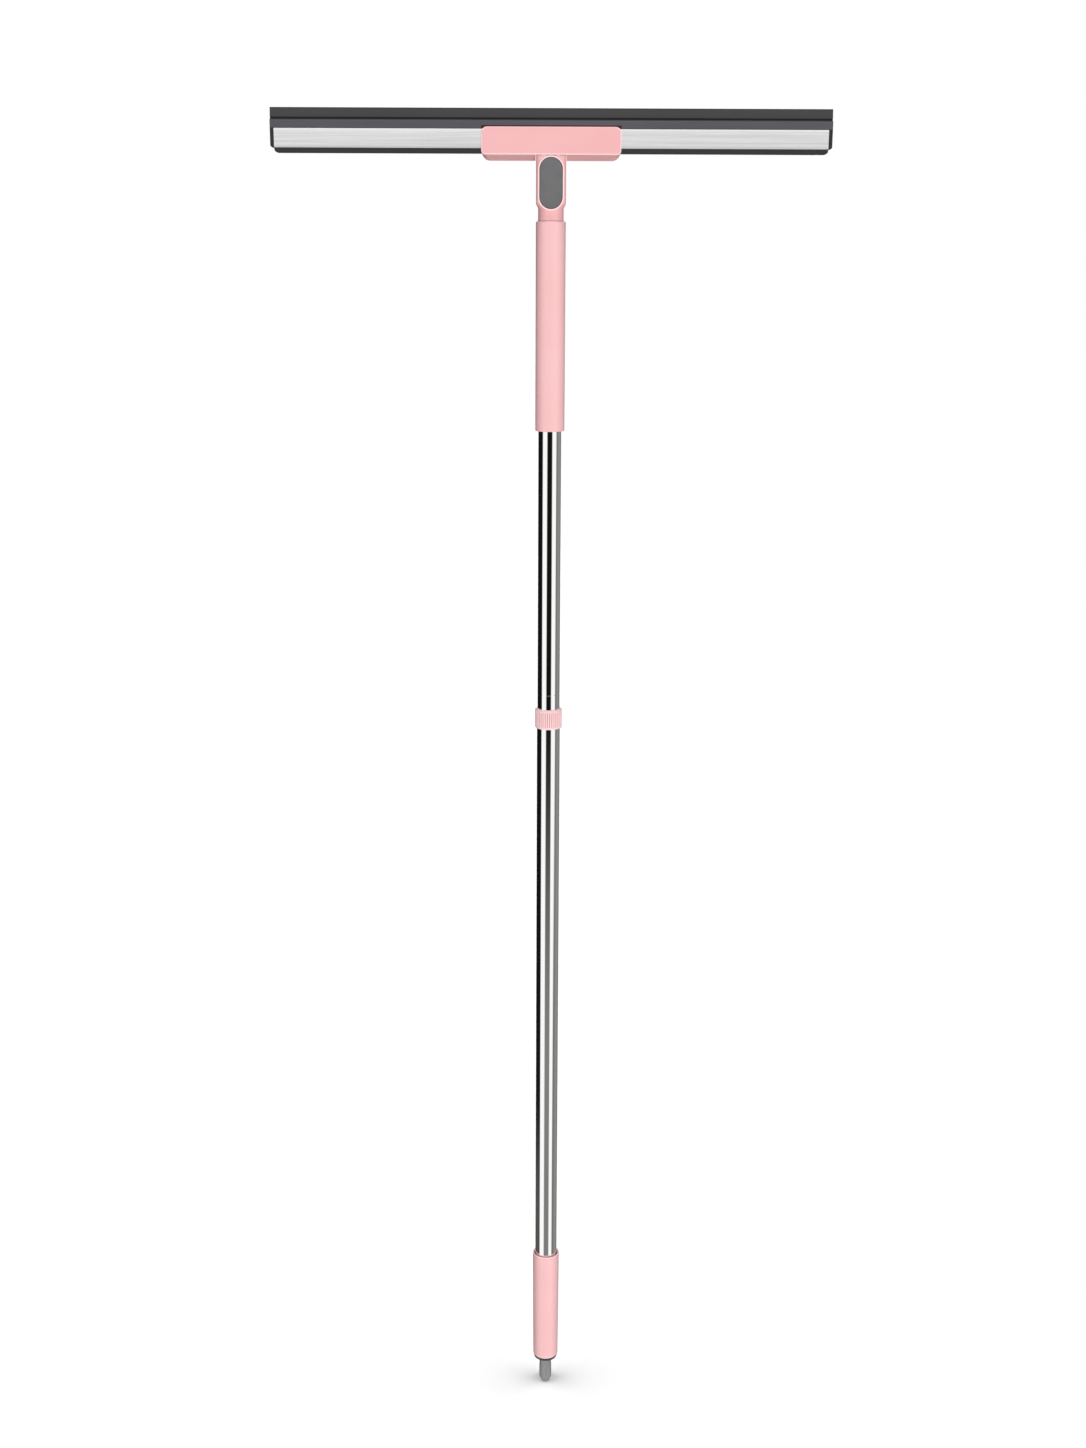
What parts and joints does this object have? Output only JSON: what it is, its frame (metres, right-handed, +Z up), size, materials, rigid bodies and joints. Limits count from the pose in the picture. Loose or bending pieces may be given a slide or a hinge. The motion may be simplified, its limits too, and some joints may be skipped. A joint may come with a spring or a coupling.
{
  "type": "window cleaning squeegee",
  "caption": "Long-handled window squeegee with a wide rubber blade, tilting head with release button, telescoping steel pole with twist lock, and a hanging tab.",
  "frame": {"origin": "centre of the hanging hole in the cap at the pole's lower end, on the pole's axis", "axes": "+Z up the pole towards the blade, +X along the hanging hole and the blade, -Y the side with the release button"},
  "size_m": [0.505, 0.0281, 1.3019],
  "materials": {
    "pink_plastic": "satin moulded",
    "grey_plastic": "fine matt",
    "black_plastic": "satin moulded",
    "carrier_plastic": "extruded satin",
    "trim_plastic": "extruded satin",
    "blade_rubber": "matt",
    "brake_rubber": "matt",
    "brushed_aluminium": "brushed lengthwise",
    "polished_tube": "polished stainless steel",
    "steel_hardware": "zinc plated",
    "white_nylon": "natural nylon"
  },
  "bodies": {
    "lower_pole": {"lower_tube": "polished_tube", "lower_grip": "pink_plastic", "hanger_cap": "grey_plastic", "cap_cross_pin": "steel_hardware", "lock_collet": "pink_plastic"},
    "lock": {"lock_ring": "pink_plastic"},
    "guide": {"guide_ring": "white_nylon"},
    "upper_pole": {"upper_tube": "polished_tube", "tube_end_plug": "white_nylon", "upper_grip": "pink_plastic", "neck_body": "pink_plastic", "neck_rear_cover": "pink_plastic", "neck_cover_screws": "steel_hardware", "neck_cross_pin": "steel_hardware", "brake_spring": "steel_hardware"},
    "head": {"squeegee_blade": "blade_rubber", "blade_carrier": "carrier_plastic", "blade_channel": "brushed_aluminium", "lower_trim": "trim_plastic", "end_cap_left": "black_plastic", "end_cap_right": "black_plastic", "bracket_front_cover": "pink_plastic", "bracket_rear_housing": "pink_plastic", "bracket_screws": "steel_hardware", "hinge_pin": "steel_hardware", "hinge_washers": "steel_hardware", "pin_clips": "steel_hardware", "brake_drum": "white_nylon"},
    "button": {"release_button": "grey_plastic"},
    "brake": {"brake_slider": "white_nylon", "brake_pad": "brake_rubber"}
  },
  "joints": [
    {"name": "collar_twist", "type": "hinge", "parent": "lower_pole", "child": "lock", "pos_m": [0, 0, 0.727], "axis": [0, 0, 1], "range_deg": [0, 60]},
    {"name": "pole_slide", "type": "slide", "parent": "lower_pole", "child": "guide", "axis": [0, 0, -1], "range_m": [0, 0.26]},
    {"name": "pole_turn", "type": "hinge", "parent": "guide", "child": "upper_pole", "pos_m": [0, 0, 0.65], "axis": [0, 0, 1], "continuous": true},
    {"name": "head_tilt", "type": "hinge", "parent": "upper_pole", "child": "head", "pos_m": [0, 0.0045, 1.258], "axis": [-1, 0, 0], "range_deg": [0, 90]},
    {"name": "button_press", "type": "slide", "parent": "upper_pole", "child": "button", "axis": [0, 1, 0], "range_m": [0, 0.0025], "stiffness_N_per_m": 800, "springref_m": -0.003},
    {"name": "brake_slide", "type": "slide", "parent": "upper_pole", "child": "brake", "axis": [0, 0, -1], "range_m": [0, 0.0025], "deforming": ["brake_spring"]}
  ],
  "couplings": [
    {"joint": "brake_slide", "follows": "button_press", "ratio": 1}
  ]
}
